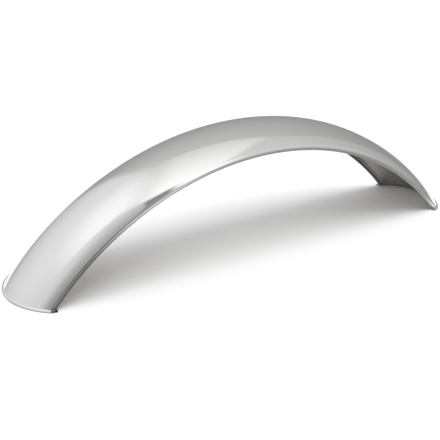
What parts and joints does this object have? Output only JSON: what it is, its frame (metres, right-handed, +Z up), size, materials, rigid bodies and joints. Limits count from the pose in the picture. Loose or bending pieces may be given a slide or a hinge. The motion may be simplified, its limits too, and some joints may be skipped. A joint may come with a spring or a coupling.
{
  "type": "motorcycle mudguard",
  "caption": "Short arched motorcycle mudguard of bright metal sheet, rounded across, with inward rolled side edges and an out-turned lip around each end.",
  "frame": {"origin": "middle of the guard on the ground plane that both ends stand on", "axes": "+Z up through the crown, +X along the guard from end to end, +Y across it, parallel to the wheel's axle"},
  "size_m": [0.5624, 0.1068, 0.1389],
  "materials": {
    "sheet": "bright mirror-polished metal"
  },
  "bodies": {
    "root": {"mudguard": "sheet"}
  },
  "joints": []
}
